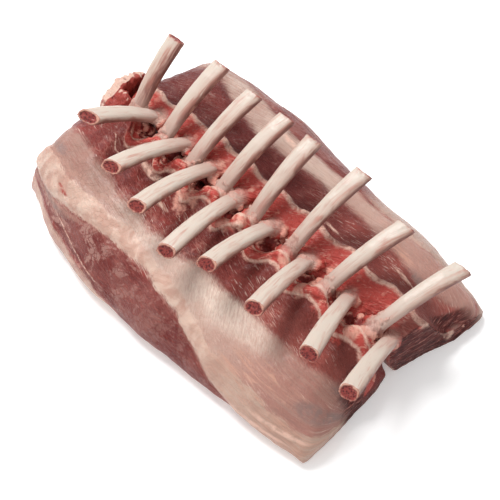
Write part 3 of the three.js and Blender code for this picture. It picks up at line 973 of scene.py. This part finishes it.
def makeRack(name):
    rack = racks[name]
    side, seed = rack["side"], rack["seed"]
    isBack, isFront = max(side, 0), max(-side, 0)
    rng = random.Random(seed)
    ownBones = [f"{name}Rib{number + 1}" for number in range(ribCount)]
    bare = evenMesh(nodeBmesh(name + "Meat"), "bare", meat["bareVoxel"], 1)
    edge = trimmedEdge(points(bare.data), rack)
    bm = nodeBmesh(name + "Meat")
    blobs = addFlesh(bm, bare, edge, ownBones, rack, rng)
    bpy.data.objects.remove(bare)
    piece = evenMesh(bm, name + "Rack", meat["voxel"], meat["relax"])
    places = points(piece.data)
    facing = normals(piece.data)
    x, out, up, across = skinPlace(places, side)

    def inside(top, foot):
        # metres inside a band of the skin, below 0 outside it
        within = np.minimum(across - lineAt(rack[top], x), lineAt(rack[foot], x) - across)
        return within * meat["skinWidth"]

    def uneven(key, shift, octaves=3, stretch=1):
        size, height = meat[key]
        return lumps(places * stretch, size * mm, seed + shift, octaves) * height

    # places by the trimmed edge: the cut face, the bright ribbon and the hollow behind them
    stations, edgeOut, edgeUp = edge
    beyond = out - np.interp(x, stations, edgeOut)
    below = np.interp(x, stations, edgeUp) - up
    nearEdge = np.exp(-((np.hypot(beyond, below) / 3.0) ** 2))
    # behind: the hollow just outside the trimmed edge, sunk in the relief and also painted in shade
    behind = ramp(beyond, 1.5, 5) * (1 - ramp(beyond, 9, 22))
    cut = (1 - ramp(beyond, -0.8, 0.4)) * (1 - ramp(below, meat["cutHeight"] - 4, meat["cutHeight"] + 3))
    cut *= 1 - ramp(x, rack["cutEnds"], rack["cutEnds"] + 12)
    # cutTop: 1 near the top of the cut face; deeper in the gap the cut face is painted in shade
    cutTop = 1 - ramp(below, 6, 15)
    if isFront:
        cutTop = ramp(beyond, -8, -5) * (1 - ramp(below, 8, 14))
    fromEdge = np.where(beyond > 0, 1, -1) * np.hypot(beyond, below)
    fromEdge += lumps(places, 7 * mm, seed + 45, 2) * 1.2
    middle, redWidth, ribbonWidth = meat["ribbon"]
    offRibbon = np.abs(fromEdge - middle)
    onRibbon = isFront * ramp(x, rack["edgeFrom"], rack["edgeFrom"] + 8) * (1 - ramp(x, *meat["ribbonEnd"]))
    ribbon = (1 - ramp(offRibbon, ribbonWidth - 1, ribbonWidth)) * onRibbon
    margin = ribbon * ramp(offRibbon, redWidth, redWidth + 1.3)

    # bands of the skin, with shreds, sinews and the lump of neck meat
    silver = inside("muscleEdge", "fatFoot")
    fat = inside("fatTop", "fatFoot")
    low = inside("fatFoot", "lowFoot")
    torn = lumps(places, 2.2 * mm, seed + 60, 2)
    tissue, pale = shredded(places, blobs, torn)
    fleshy = lumps(places, 4.4 * mm, seed + 40)
    patch = ramp(fleshy, 0.2, 0.5) * cut * (1 - ramp(below, 6, 12)) * rack["fleshy"] * (1 - ribbon)
    pale = np.where(patch > tissue, 0.62, pale)
    tissue = np.maximum(tissue, patch)
    sinew = nearestSinew(x, across, rack)
    knobOff = (places / mm - np.array(meat["knob"])) / np.array(meat["knobSize"])
    knob = isFront * (1 - ramp(np.linalg.norm(knobOff, axis=1) + torn * 0.06, 0.96, 1.12))
    knobPale = facing @ np.array(meat["knobLit"]) + lumps(places, 5 * mm, seed + 80) * 0.35

    # relief, in millimetres along the normals
    fatLump = ramp(fat / mm, -2, 5) * (1.0 + uneven("fatLumps", 30)) * (0.7 + 0.6 * ramp(-x, -10, 40))
    seam = np.exp(-((np.abs(silver) / mm / 2.5) ** 2)) * ramp(across, 0.1, 0.2) * 0.6
    lift = uneven("broad", 0) + uneven("muscle", 20, stretch=np.array([0.6, 1.2, 1.2])) + fatLump
    lift += patch * 1.3 + ribbon * 1.1 + nearEdge * uneven("ruffle", 50, 2) + knob * uneven("folds", 70)
    lift += np.exp(-((sinew / 0.8) ** 2)) * 0.4 - behind * 0.8 - seam
    moved = places + facing * (lift * mm * ramp(up, 0.5, 6))[:, None]
    moved[:, 0] -= ramp(x, 112, 126) * ramp(across, 0.72, 0.95) * rack["cornerIn"] * mm
    moveTo(piece.data, np.clip(moved, *cadBox))

    loinEnd = ramp(facing[:, 0], 0.6, 0.85) * (1 - ramp(out, rack["rawBy"], rack["rawBy"] + 14))
    farEnd = ramp(-facing[:, 0], 0.6, 0.85) * isBack
    footward = ramp(across - lineAt(rack["lowFoot"], x), -0.02, 0.02)
    grey, red, white, warm, glaze = [
        spotShare(x, across, rack[key + "Spots"]) for key in ("grey", "red", "white", "warm", "glaze")
    ]
    layers = {
        "bands": (silver, fat, low),
        "trim": (beyond * mm, cut, clinging(places, ownBones)),
        "skin": (x * mm, across * meat["skinWidth"], lineAt(rack["density"], x)),
        # tint: shreds, their tone, and painted shade in the hollow behind the trimmed edge
        "tint": (tissue, pale, np.clip(behind, 0, 1)),
        "marks": (np.maximum(loinEnd, farEnd), knob, np.clip(sinew, -20, 20) * mm),
        "spots": (grey, red, white),
        "depth": (below * mm, isBack * ramp(x, 20, 45), cutTop),
        "more": (ramp(knobPale, 0.3, 1.0), footward, isBack * ramp(-x, -60, 20)),
        "patches": (warm, glaze, ramp(-x, 10, 70)),
        "sides": (isBack, ribbon, margin),
    }
    for layer, columns in layers.items():
        paint(piece.data, layer, columns)
    piece.data.materials.append(meatFinish)
    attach(piece, "root")
    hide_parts(name + "Meat")
    print(name, "rack made with", len(places), "points")
    return piece


for rackName in racks:
    makeRack(rackName)


# studio

studio = {
    "target": (9.34 * mm, -8.54 * mm, 30 * mm),  # the point at the middle of the picture
    "azimuth": 47,
    "elevation": 58,
    "distance": 0.8,
    "lens": 101.7,
    "floorSize": 6.0,
    "floorTones": (0.93, 0.96),
    "floorGlow": 0.25,
    # lights as place, size and power
    "lights": {
        "key": ((-0.6, 0.05, 1.15), 0.6, 15),
        "fill": ((0.3, -0.9, 0.9), 1.2, 2),
        "top": ((0.0, 0.1, 1.4), 1.4, 3),
    },
    "lightAim": (0, 0, 0.03),
    "surroundings": 0.42,  # how bright the white all round is
}


def makeFloor():
    bm = bmesh.new()
    bmesh.ops.create_grid(bm, x_segments=2, y_segments=2, size=studio["floorSize"] / 2)
    mesh = bpy.data.meshes.new("floor")
    bm.to_mesh(mesh)
    bm.free()
    floor = link(mesh, "floor")
    white = (1, 1, 1, 1)
    look = {"Roughness": 0.9, "Emission Color": white, "Emission Strength": studio["floorGlow"]}
    material, tree, shader = newMaterial("paleFloor", look)
    position = addNode(tree, "ShaderNodeTexCoord").outputs["Object"]
    dim, bright = [(tone, tone, tone, 1) for tone in studio["floorTones"]]
    send(tree, shader, {"Base Color": blend(tree, grain(tree, position, 3.0), dim, bright)})
    floor.data.materials.append(material)


def makeCamera():
    azimuth, elevation = math.radians(studio["azimuth"]), math.radians(studio["elevation"])
    flat = math.cos(elevation)
    back = Vector((math.sin(azimuth) * flat, -math.cos(azimuth) * flat, math.sin(elevation)))
    data = bpy.data.cameras.new("camera")
    data.sensor_width = 36
    data.lens = studio["lens"]
    data.clip_start = 0.01
    camera = link(data, "camera")
    camera.location = Vector(studio["target"]) + back * studio["distance"]
    camera.rotation_euler = (-back).to_track_quat("-Z", "Y").to_euler()
    bpy.context.scene.camera = camera


def addLight(name, spot, size, power):
    data = bpy.data.lights.new(name, "AREA")
    data.shape = "DISK"
    data.size = size
    data.energy = power
    light = link(data, name)
    light.location = spot
    light.rotation_euler = (Vector(studio["lightAim"]) - Vector(spot)).to_track_quat("-Z", "Y").to_euler()


def makeWorld():
    world = bpy.data.worlds.new("studio")
    world.use_nodes = True
    background = world.node_tree.nodes["Background"]
    background.inputs["Color"].default_value = (1, 1, 1, 1)
    background.inputs["Strength"].default_value = studio["surroundings"]
    bpy.context.scene.world = world


makeFloor()
makeCamera()
for lightName, settings in studio["lights"].items():
    addLight(lightName, *settings)
makeWorld()
bpy.context.scene.view_settings.view_transform = "Standard"
print("studio ready")
